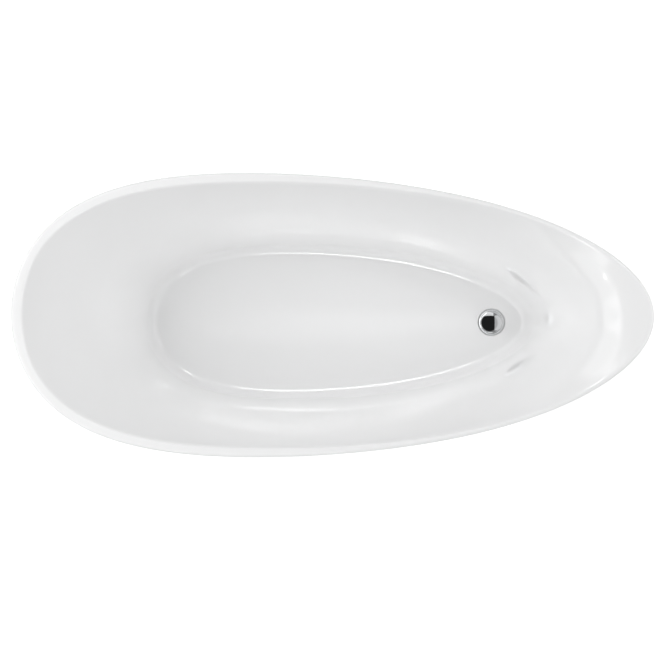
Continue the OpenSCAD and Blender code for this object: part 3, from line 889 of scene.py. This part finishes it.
        return [(1, seat), (4, seat_side), (26, floor), (18, dish), (10, bend), (56, wall),
                (14, rim_edge), (3, rim_top), (8, roll), (4, flange)]

    def skirt_bands(self) -> list[tuple[int, BandRule]]:
        """Lists the skirt's bands from the seam down and in under the hem."""

        def side(egg: EggRules, v: Sum) -> Spot:
            """The outside."""
            get = egg.maker.size
            top = egg.side_up(get("flange_d") + get("seam_w"))
            return egg.side(top * (1.0 - v), 0.0)

        def hem(egg: EggRules, v: Sum) -> Spot:
            """The hem turned in at the foot."""
            return egg.side(v * 0.0, v * egg.maker.size("hem_w"))

        return [(60, side), (6, hem)]

    def bead_rule(self, egg: EggRules, v: Sum) -> Spot:
        """A bead that is drawn in slightly between its two edges."""
        get = egg.maker.size
        hollow = v * (1.0 - v) * self.bead_hollow
        return egg.side(egg.side_up(get("flange_d") + get("seam_w") * v), hollow + self.bead_in)

    def strip_rule(self, egg: EggRules, v: Sum) -> Spot:
        """The strip behind the seam, which laps both shells."""
        get = egg.maker.size
        depth = get("flange_d") - self.strip_up + (get("seam_w") + self.strip_w) * v
        return egg.side(egg.side_up(depth), get("shell_t") + self.strip_gap)

    def is_floor(self, spot: Vector) -> bool:
        """Tells whether a place is on the built-up floor and not on the waste's seat."""
        away = math.hypot(spot.x - self.sizes.waste_x, spot.y)
        top = self.sizes.floor_h + self.sizes.floor_fall + self.floor_slack
        return spot.z < top and away > self.sizes.seat_r + self.sizes.seat_chamfer / 2

    @staticmethod
    def thicken(piece: bpy.types.Object, thickness: float, thin: float = 1.0,
                thick_here: Callable[[Vector], bool] | None = None) -> None:
        """Gives an open skin its wall, away from its faces.

        Args:
            piece: The skin.
            thickness: Its full thickness.
            thin: Share of the thickness where the skin isn't built up.
            thick_here: Tells whether a place is built up; None means everywhere.
        """
        if thick_here:
            group = piece.vertex_groups.new(name="built_up")
            group.add([p.index for p in piece.data.vertices if thick_here(p.co)], 1.0, "REPLACE")
        wall = piece.modifiers.new("wall", "SOLIDIFY")
        wall.thickness, wall.offset, wall.use_quality_normals = thickness, -1.0, True
        if thick_here:
            wall.vertex_group, wall.thickness_vertex_group = "built_up", thin
        graph = bpy.context.evaluated_depsgraph_get()
        solid = bpy.data.meshes.new_from_object(piece.evaluated_get(graph))
        piece.modifiers.clear()
        piece.vertex_groups.clear()
        solid.name = piece.name
        piece.data = solid
        solid.shade_smooth()
        solid.set_sharp_from_angle(angle=math.radians(50))


def distance(a: Spot, b: Spot) -> Sum:
    """Gives the distance between two places."""
    x, y = b.x - a.x, b.y - a.y
    level = isinstance(a.z, float) and isinstance(b.z, float)
    square = x * x + y * y
    if not level:
        z = b.z - a.z
        square = square + z * z
    return square.step("SQRT").step("MAXIMUM", 1e-6)


# ---------------------------------------------------------------------------------------------
# Repeated and wound pieces
# ---------------------------------------------------------------------------------------------


def winding(name: str, centre: tuple[float, float], low: float, high: float, coil_r: float,
            wire_r: float, pitch: float, sides: int, finish: Finish) -> bpy.types.Object:
    """Winds a wire or a thread about an upright axis.

    Args:
        name: The piece's name.
        centre: X and Y of the axis.
        low: Height where it starts.
        high: Height where it ends.
        coil_r: Radius to the wire's middle.
        wire_r: Radius of the wire or of the thread's ridge.
        pitch: Rise in one turn.
        sides: Sides of the wire.
        finish: Its finish.
    """
    maker = TreeMaker(name + " winding", {
        "turns": (high - low) / pitch, "height": high - low, "coil_r": coil_r, "wire_r": wire_r,
        "x": centre[0], "y": centre[1], "z": low})
    get = maker.size
    path = maker.node("GeometryNodeCurveSpiral", Resolution=24, Rotations=get("turns"),
                      Start_Radius=get("coil_r"), End_Radius=get("coil_r"), Height=get("height"))
    section = maker.node("GeometryNodeCurvePrimitiveCircle", Resolution=sides, Radius=get("wire_r"))
    wire = maker.node("GeometryNodeCurveToMesh", Curve=path.outputs[0],
                      Profile_Curve=section.outputs[0], Fill_Caps=True)
    return maker.stand(wire.outputs[0], finish, name, 50 if sides > 4 else 20)


def ring_of_bars(name: str, centre: tuple[float, float], count: int, radius: float,
                 bar: tuple[float, float, float], z: float, finish: Finish) -> bpy.types.Object:
    """Sets bars round an upright axis, pointing outwards.

    Args:
        name: The piece's name.
        centre: X and Y of the axis.
        count: How many bars there are.
        radius: Distance from the axis to a bar's middle.
        bar: A bar's length outwards, width and height.
        z: Height of the bars' middle.
        finish: Their finish.
    """
    maker = TreeMaker(name + " ring", {
        "count": count, "radius": radius, "bar_l": bar[0], "bar_w": bar[1], "bar_h": bar[2],
        "x": centre[0], "y": centre[1], "z": z})
    get = maker.size
    ring = maker.node("GeometryNodeMeshCircle", Vertices=get("count"), Radius=get("radius"))
    block = maker.node("GeometryNodeMeshCube", Size=maker.vector(
        Spot(get("bar_l"), get("bar_w"), get("bar_h"))))
    number = Sum(maker.tree, maker.tree.nodes.new("GeometryNodeInputIndex").outputs[0])
    turn = maker.vector(Spot(number * 0.0, number * 0.0, number * (2 * math.pi) / get("count")))
    bars = maker.node("GeometryNodeInstanceOnPoints", Points=ring.outputs[0],
                      Instance=block.outputs[0], Rotation=turn)
    return maker.stand(bars.outputs[0], finish, name, 20, smooth=False)


# How far a hexagon's corners stand out past its flats, as a share of half its width
HEX_REACH = 0.1547
# How far its chamfered corners fall back from a face, as a share of its width
HEX_DROP = 0.0447
# Share of that drop between the face and the flats' edge
HEX_EDGE = 0.2


def hex_rule(across: float, z: float,
             face_z: float = 0.0) -> Callable[[float], tuple[float, float]]:
    """Gives the ring of a hexagon whose corners are chamfered towards a face.

    Args:
        across: Distance across the flats.
        z: Height of the flats' edge.
        face_z: Height that the corners fall back by, signed; 0 for none.
    """

    def ring(angle: float) -> tuple[float, float]:
        """Radius and height at an angle."""
        off = (angle + math.pi / 6) % (math.pi / 3) - math.pi / 6
        radius = across / 2 / math.cos(off)
        return radius, z + face_z * (radius - across / 2) / (across / 2 * HEX_REACH)

    return ring


def hex_sides(across: float, low: float, high: float) -> list[Ring]:
    """Gives the two rings of a hexagon whose corners are chamfered at both faces."""
    drop = across * HEX_DROP
    return [hex_rule(across, low + drop * HEX_EDGE, drop),
            hex_rule(across, high - drop * HEX_EDGE, -drop)]


def hex_nut(name: str, centre: tuple[float, float], across: float, low: float, high: float,
            hole_r: float, finish: Finish) -> bpy.types.Object:
    """Builds a chamfered hexagon nut.

    Args:
        name: The piece's name.
        centre: X and Y of its axis.
        across: Distance across the flats.
        low: Height of its lower face.
        high: Height of its upper face.
        hole_r: Radius of its hole.
        finish: Its finish.
    """
    flat_r = across / 2 * 0.97
    lead = 0.0006
    rings: list[Ring] = [
        (hole_r, low + lead), (hole_r + lead, low), (flat_r, low), *hex_sides(across, low, high),
        (flat_r, high), (hole_r + lead, high), (hole_r, high - lead)]
    return turned(name, rings, centre, finish, around=72)


# ---------------------------------------------------------------------------------------------
# Levelling feet
# ---------------------------------------------------------------------------------------------


@dataclass
class LevellingFoot:
    """One foot: a nylon pad and a threaded stud with a wrench hexagon."""

    number: int
    pitch: float = 0.00175
    thread_depth: float = 0.0008
    stud_r: float = 0.006
    hex_h: float = 0.006
    hex_across: float = 0.017
    hex_gap: float = 0.0002
    plain_tip: float = 0.0015
    groove: float = 0.0012
    tread_w: float = 0.003
    treads: tuple[float, ...] = (0.005, 0.010, 0.015, 0.020)
    neck_r: float = 0.012
    socket_r: float = 0.00605
    socket_d: float = 0.008

    def build(self) -> None:
        """Builds and fits the pad and the stud."""
        self.pad()
        self.stud()

    def pad(self) -> None:
        """Turns the pad, with grip grooves in its sole and a socket for the stud."""
        node = f"foot_pad_{self.number}"
        r, top = radius_of(node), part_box(node)[1].z
        socket, floor = self.socket_r, top - self.socket_d
        sole: list[tuple[float, float, float]] = [(0.0, self.groove, 0.0)]
        for inner in self.treads:
            outer = inner + self.tread_w
            sole += [(inner, self.groove, 0.0), (inner, 0.0, 0.0003), (outer, 0.0, 0.0003),
                     (outer, self.groove, 0.0)]
        sole[-1] = (r - 0.0002, 0.0, 0.001)
        body = [(r, 0.0022, 0.0008), (r, 0.005, 0.001), (r - 0.0012, 0.0058, 0.001),
                (r * 0.72, 0.0088, 0.003), (self.neck_r, top, 0.0012), (socket + 0.0004, top, 0.0),
                (socket, top - 0.0004, 0.0), (socket, floor, 0.0), (0.0, floor, 0.0)]
        piece = turned(f"levelling_pad_{self.number}", rounded(sole + body, 3), middle(node),
                       NYLON, around=72, loop=False)
        fit(piece, f"pad_{self.number}", NYLON, node)

    def stud(self) -> None:
        """Builds the stud's core, its wound thread and its wrench hexagon."""
        node = f"foot_stud_{self.number}"
        centre = middle(node)
        low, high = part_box(node)
        core = self.stud_r - self.thread_depth
        name = f"levelling_stud_{self.number}"
        shaft = turned(name + "_core", rounded([
            (0.0, low.z, 0.0), (core, low.z, 0.0008), (core, high.z, 0.001),
            (0.0, high.z, 0.0)], 3), centre, STUD_ZINC, around=48, loop=False)
        hex_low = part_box(f"foot_pad_{self.number}")[1].z + self.hex_gap
        hex_high = hex_low + self.hex_h
        face_r = self.hex_across * 0.48
        flats = turned(name + "_hex", [
            (0.0, hex_low), (face_r, hex_low), *hex_sides(self.hex_across, hex_low, hex_high),
            (face_r, hex_high), (0.0, hex_high)], centre, STUD_ZINC, around=72, loop=False)
        thread = winding(name + "_thread", centre, hex_high, high.z - self.plain_tip, core,
                         self.thread_depth, self.pitch, 4, STUD_ZINC)
        fit(joined(name, [shaft, flats, thread]), f"stud_{self.number}", STUD_ZINC, node)


# ---------------------------------------------------------------------------------------------
# Base frame
# ---------------------------------------------------------------------------------------------


@dataclass
class BaseFrame:
    """The board, the steel tubes and the small hardware under the basin."""

    nut_across: float = 0.01896
    nut_hole_r: float = 0.00605
    dressed: dict[str, Finish] = field(default_factory=lambda: {
        "base_board": PLYWOOD, "left_rail": GALVANISED, "right_rail": GALVANISED,
        "head_crossbar": GALVANISED, "middle_crossbar": GALVANISED, "foot_crossbar": GALVANISED,
        "tube_end_caps": BLACK_CAP, "board_screws": BRIGHT_ZINC, "bracket_screws": BRIGHT_ZINC,
        "skirt_brackets": BRACKET_ZINC, "hem_pads": GLUE})

    def build(self, nodes: dict[str, bpy.types.Object]) -> None:
        """Dresses the plain nodes and builds the nuts.

        Args:
            nodes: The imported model's nodes.
        """
        for name, finish in self.dressed.items():
            dress(nodes[name], finish)
        for name in ("weld_nuts", "lock_nuts"):
            self.nuts(name)

    def nuts(self, node: str) -> None:
        """Builds one nut at each foot, with the height of a plain node's nuts."""
        low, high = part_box(node)
        made = [hex_nut(f"{node}_{k}", middle(f"foot_stud_{k}"), self.nut_across, low.z, high.z,
                        self.nut_hole_r, BRIGHT_ZINC) for k in range(1, FEET + 1)]
        fit(joined(node.replace("_nuts", "_hex_nuts"), made), "tub", BRIGHT_ZINC, node)


def dress(node: bpy.types.Object, finish: Finish) -> None:
    """Puts a finish on a plain node, whose mesh stays as it is."""
    if not node.material_slots:
        node.data.materials.append(finish.material())
    for slot in node.material_slots:
        slot.material = finish.material()
    LOG.info("%s dressed in %s", node.name, finish.name)


# ---------------------------------------------------------------------------------------------
# Waste and plug
# ---------------------------------------------------------------------------------------------


@dataclass
class Waste:
    """The waste that is clamped through the basin's floor, and the pipe under it."""

    bore_r: float = 0.020
    shank_r: float = 0.0239
    cone_top_r: float = 0.030
    cone_low_r: float = 0.022
    cone_h: float = 0.0036
    ridge: float = 0.0006
    pitch: float = 0.0023
    hub_up: float = 0.018
    hub_h: float = 0.005
    hub_r: float = 0.009
    hub_bore_r: float = 0.00705
    spokes: int = 4
    spoke_at: float = 0.0145
    spoke_l: float = 0.0125
    spoke_w: float = 0.003
    nut_across: float = 0.062
    pipe_r: float = 0.01905
    wall: float = 0.0015
    bead_r: float = 0.0208
    bead_h: float = 0.002
    bead_drop: float = 0.004
    cup_r: float = 0.0284
    ribs: int = 24
    rib_at: float = 0.0286
    rib: tuple[float, float, float] = (0.003, 0.003, 0.013)

    def build(self) -> None:
        """Builds and fits the waste's pieces."""
        self.at = middle("waste_body")
        self.body()
        self.washers()
        self.tail()

    def body(self) -> None:
        """Turns the flange, its cone and the shank, and adds the thread and the spider."""
        low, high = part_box("waste_body")
        flange_r = radius_of("waste_body")
        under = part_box("waste_gasket")[1].z
        turning = turned("waste_turning", rounded([
            (self.bore_r, low.z, 0.0006), (self.shank_r - 0.0004, low.z, 0.0006),
            (self.shank_r - 0.0004, under, 0.0), (flange_r, under, 0.0006),
            (flange_r, high.z - 0.0022, 0.0018), (flange_r - 0.0035, high.z, 0.0035),
            (self.cone_top_r, high.z, 0.0009), (self.cone_low_r, high.z - self.cone_h, 0.001),
            (self.bore_r, high.z - self.cone_h - 0.0015, 0.0008)], 5), self.at, CHROME, around=128)
        hub_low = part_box("plug_cartridge")[0].z + self.hub_up
        hub_high = hub_low + self.hub_h
        spider = ring_of_bars("waste_spider", self.at, self.spokes, self.spoke_at,
                              (self.spoke_l, self.spoke_w, self.hub_h), (hub_low + hub_high) / 2,
                              CHROME)
        boss = turned("waste_boss", rounded([
            (self.hub_bore_r, hub_low, 0.0), (self.hub_r, hub_low, 0.0005),
            (self.hub_r, hub_high, 0.0005), (self.hub_bore_r, hub_high, 0.0)], 3),
            self.at, CHROME, around=48)
        thread_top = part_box("backnut_washer")[0].z
        thread = winding("waste_thread", self.at, low.z + 0.002, thread_top,
                         self.shank_r - self.ridge, self.ridge, self.pitch, 4, CHROME)
        fit(joined("waste_fitting", [turning, spider, boss, thread]), "tub", CHROME, "waste_body")

    def washers(self) -> None:
        """Turns the gasket and the washers, with rounded edges, and the brass back nut."""
        for node, name in (("waste_gasket", "flange_gasket"), ("backnut_washer", "backnut_seal"),
                           ("tail_washer", "tail_seal")):
            low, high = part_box(node)
            outer = radius_of(node)
            inner = {"tail_washer": self.bore_r - 0.0004}.get(node, self.shank_r + 0.0003)
            ease = (high.z - low.z) * 0.3
            piece = turned(name, rounded([
                (inner, low.z, ease / 2), (outer, low.z, ease), (outer, high.z, ease),
                (inner, high.z, ease / 2)], 3), self.at, RUBBER)
            fit(piece, "tub", RUBBER, node)
        low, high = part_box("backnut")
        nut = hex_nut("brass_backnut", self.at, self.nut_across, low.z, high.z,
                      self.shank_r + 0.00005, BRASS)
        fit(nut, "tub", BRASS, "backnut")

    def tail(self) -> None:
        """Turns the tail pipe and builds the ribbed union nut."""
        low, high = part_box("tail_pipe")
        r, inside, sleeve = self.pipe_r, self.pipe_r - self.wall, self.bore_r - 0.0005
        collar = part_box("tail_nut")[0].z - self.bead_drop
        pipe = turned("outlet_pipe", rounded([
            (inside, low.z, 0.0004), (r, low.z, 0.0006), (r, collar, 0.0008),
            (self.bead_r, collar, 0.0008), (self.bead_r, collar + self.bead_h, 0.0008),
            (sleeve, collar + self.bead_h, 0.0004), (sleeve, high.z, 0.0004),
            (inside, high.z, 0.0002)], 4), self.at, CHROME)
        fit(pipe, "tub", CHROME, "tail_pipe")
        low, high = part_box("tail_nut")
        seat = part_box("tail_washer")[0].z
        cup = turned("union_cup", rounded([
            (self.bore_r, low.z, 0.0004), (self.cup_r, low.z, 0.0015), (self.cup_r, high.z, 0.0012),
            (self.shank_r + 0.0001, high.z, 0.0006), (self.shank_r + 0.0001, seat, 0.0),
            (self.bore_r, seat, 0.0)], 4), self.at, CHROME)
        ribs = ring_of_bars("union_ribs", self.at, self.ribs, self.rib_at, self.rib,
                            (low.z + high.z) / 2, CHROME)
        fit(joined("union_nut", [cup, ribs]), "tub", CHROME, "tail_nut")


@dataclass
class Plug:
    """The press-to-open plug: dome, seal, stem, cartridge and spring."""

    stem_r: float = 0.004
    collar_r: float = 0.0058
    wire_r: float = 0.00045
    coil_r: float = 0.005
    coils: int = 5
    under_lip: float = 0.002
    edge_h: float = 0.0025
    dome_steps: int = 24
    collar_h: float = 0.002
    barrel_r: float = 0.007
    chamber_r: float = 0.006
    base_t: float = 0.002
    roof_t: float = 0.005
    hex_up: float = 0.023
    hex_across: float = 0.018
    hex_face_r: float = 0.0086

    def build(self) -> None:
        """Builds and fits the plug's pieces."""
        self.at = middle("plug_cap")
        self.dome()
        self.moving()
        self.cartridge()

    def dome(self) -> None:
        """Turns the shallow polished dome with a softly rolled edge."""
        low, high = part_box("plug_cap")
        r, edge_z, steps = radius_of("plug_cap"), low.z + self.edge_h, self.dome_steps
        crown = high.z - edge_z
        bulge = (r * r + crown * crown) / (2 * crown)
        radii = [r * (1 - k / steps) for k in range(3, steps + 1)]
        arc = [(x, edge_z + math.sqrt(bulge ** 2 - x ** 2) - (bulge - crown)) for x in radii]
        arc[-1] = (0.0, high.z)
        edge = rounded([(0.0, low.z, 0.0), (r - self.under_lip, low.z, 0.0008),
                        (r, low.z + 0.0016, 0.001), (r, edge_z, 0.0008),
                        (arc[0][0], arc[0][1], 0.0)], 5)
        piece = turned("plug_dome", edge[:-1] + arc, self.at, CHROME, around=160, loop=False)
        fit(piece, "plug", CHROME, "plug_cap")

    def moving(self) -> None:
        """Turns the seal under the dome and the stem."""
        low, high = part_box("plug_seal")
        r = radius_of("plug_seal")
        seal = turned("plug_sealing_ring", rounded([
            (self.stem_r + 0.0001, low.z, 0.0), (r, low.z, 0.0009), (r, high.z, 0.0009),
            (self.stem_r + 0.0001, high.z, 0.0)], 4), self.at, RUBBER)
        fit(seal, "plug", RUBBER, "plug_seal")
        low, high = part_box("plug_stem")
        stem = turned("plug_spindle", rounded([
            (0.0, low.z, 0.0), (self.collar_r, low.z, 0.0004),
            (self.collar_r, low.z + self.collar_h, 0.0004),
            (self.stem_r, low.z + self.collar_h, 0.0), (self.stem_r, high.z, 0.0),
            (0.0, high.z, 0.0)], 3),
            self.at, STAINLESS, around=64, loop=False)
        fit(stem, "plug", STAINLESS, "plug_stem")

    def cartridge(self) -> None:
        """Builds the cartridge's barrel with its hexagon, and winds the spring."""
        low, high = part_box("plug_cartridge")
        hex_low, barrel, chamber = low.z + self.hex_up, self.barrel_r, self.chamber_r
        floor_z, roof_z = low.z + self.base_t, high.z - self.roof_t
        inner, face_r = self.stem_r + 0.00005, self.hex_face_r
        rings: list[Ring] = [
            (0.0, low.z), (barrel - 0.0006, low.z), (barrel, low.z + 0.0006), (barrel, hex_low),
            (face_r, hex_low), hex_rule(self.hex_across, hex_low + 0.0002, 0.0004),
            hex_rule(self.hex_across, high.z - 0.0002, -0.0006), (face_r, high.z),
            (inner + 0.0003, high.z),
            (inner, high.z - 0.0003), (inner, roof_z), (chamber, roof_z), (chamber, floor_z),
            (0.0, floor_z)]
        piece = turned("plug_barrel", rings, self.at, BRASS, around=72, loop=False)
        fit(piece, "tub", BRASS, "plug_cartridge")
        low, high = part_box("plug_spring")
        start, end = low.z + self.wire_r, high.z - self.wire_r
        pitch = (high.z - low.z - 2 * self.wire_r) / self.coils
        coil = winding("plug_coil", self.at, start, end, self.coil_r, self.wire_r, pitch, 10,
                       SPRING_WIRE)
        fit(coil, "tub", SPRING_WIRE, "plug_spring")


# ---------------------------------------------------------------------------------------------
# Studio
# ---------------------------------------------------------------------------------------------


@dataclass(frozen=True)
class Softbox:
    """One square lamp that points at the basin.

    Attributes:
        name: The lamp's name.
        azimuth: Direction that the light comes from, in degrees from +X towards +Y.
        elevation: Its height above level, in degrees.
        side: Its side, in metres.
        watts: Its power.
        reach: Its distance from the basin, in metres.
    """

    name: str
    azimuth: float
    elevation: float
    side: float
    watts: float
    reach: float = 4.0

    def light(self, aim: Vector) -> None:
        """Hangs the lamp.

        Args:
            aim: The place that it points at.
        """
        lamp = bpy.data.lights.new(self.name, "AREA")
        lamp.shape, lamp.size, lamp.energy = "SQUARE", self.side, self.watts
        made = placed(self.name, lamp)
        a, e = math.radians(self.azimuth), math.radians(self.elevation)
        away = Vector((math.cos(a) * math.cos(e), math.sin(a) * math.cos(e), math.sin(e)))
        made.location = aim + away * self.reach
        made.rotation_euler = (-away).to_track_quat("-Z", "Y").to_euler()


@dataclass
class Studio:
    """A pale floor, soft light and a camera nearly straight above."""

    rim_level: float = 0.64
    camera_up: float = 8.0
    camera_aside: float = -0.321
    aim_aside: float = -0.0457
    aim_along: float = -0.0085
    view_width: float = 1.7555
    surround: float = 0.27
    floor_glow: float = 0.36
    floor_half: float = 30.0
    lamp_aim: float = 0.3
    shade_centre: tuple[float, float, float] = (-0.06, -0.005, 1.0)
    shade_edge: tuple[float, float] = (0.36, 0.42)
    shade_greys: tuple[float, float] = (0.06, 1.0)
    lamps: tuple[Softbox, ...] = (
        Softbox("head", 180, 46, 2.8, 37),
        Softbox("head_left", 135, 46, 2.8, 29),
        Softbox("head_right", -135, 44, 2.8, 25),
        Softbox("foot_low", 0, 29, 3.0, 34),
        Softbox("foot_high", 0, 52, 3.0, 13),
        Softbox("side_left", 90, 56, 2.0, 8),
        Softbox("side_right", -90, 50, 1.8, 8),
        Softbox("glint_foot", 32, 52, 0.2, 5),
        Softbox("glint_foot_left", 70, 54, 0.2, 5),
        Softbox("glint_left", 92, 54, 0.2, 5),
        Softbox("glint_foot_right", -66, 54, 0.2, 5),
        Softbox("glint_right", -94, 54, 0.2, 5),
        Softbox("glint_head_right", -126, 54, 0.15, 2))

    def build(self) -> None:
        """Builds the floor, the light and the camera."""
        self.floor()
        self.sky()
        for lamp in self.lamps:
            lamp.light(Vector((0.0, 0.0, self.lamp_aim)))
        self.camera()
        bpy.context.scene.view_settings.view_transform = "Standard"

    def floor(self) -> None:
        """Lays the pale floor."""
        mesh = bpy.data.meshes.new("studio_floor")
        far = self.floor_half
        corners = [(-far, -far, 0), (far, -far, 0), (far, far, 0), (-far, far, 0)]
        mesh.from_pydata(corners, [], [(0, 1, 2, 3)])
        paint = bpy.data.materials.new("pale floor")
        paint.use_nodes = True
        shader = paint.node_tree.nodes["Principled BSDF"]
        shader.inputs["Base Color"].default_value = (0.9, 0.9, 0.9, 1)
        shader.inputs["Roughness"].default_value = 0.9
        shader.inputs["Emission Color"].default_value = (1, 1, 1, 1)
        shader.inputs["Emission Strength"].default_value = self.floor_glow
        mesh.materials.append(paint)
        placed("studio_floor", mesh)

    def sky(self) -> None:
        """Lights the studio evenly, with a darker patch overhead."""
        world = bpy.data.worlds.new("studio")
        bpy.context.scene.world = world
        world.use_nodes = True
        tree = world.node_tree
        place = add_node(tree, "ShaderNodeTexCoord").outputs["Generated"]
        off = add_node(tree, "ShaderNodeVectorMath", Vector=place)
        off.operation = "DISTANCE"
        off.inputs[1].default_value = Vector(self.shade_centre)
        ramp = add_node(tree, "ShaderNodeValToRGB", Fac=off.outputs["Value"])
        for stop, edge, grey in zip(ramp.color_ramp.elements, self.shade_edge, self.shade_greys):
            stop.position, stop.color = edge, (grey, grey, grey, 1)
        back = tree.nodes["Background"].inputs
        feed(tree, back["Strength"], self.surround)
        feed(tree, back["Color"], ramp.outputs["Color"])

    def camera(self) -> None:
        """Sets the camera above the bath, a little to one side."""
        lens = bpy.data.cameras.new("camera")
        made = placed("camera", lens)
        eye = Vector((self.aim_along, self.camera_aside, self.rim_level + self.camera_up))
        aim = Vector((self.aim_along, self.aim_aside, self.rim_level))
        made.location = eye
        made.rotation_euler = (aim - eye).to_track_quat("-Z", "Y").to_euler()
        lens.lens = lens.sensor_width * (aim - eye).length / self.view_width
        lens.clip_end = 100
        bpy.context.scene.camera = made


def main() -> None:
    logging.basicConfig(level=logging.INFO, format="%(message)s")
    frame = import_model()
    Shells(ShellSizes.measured()).build()
    BaseFrame().build(frame["nodes"])
    for number in range(1, FEET + 1):
        LevellingFoot(number).build()
    Waste().build()
    Plug().build()
    Studio().build()
    bpy.context.view_layer.update()


if __name__ == "__main__":
    main()
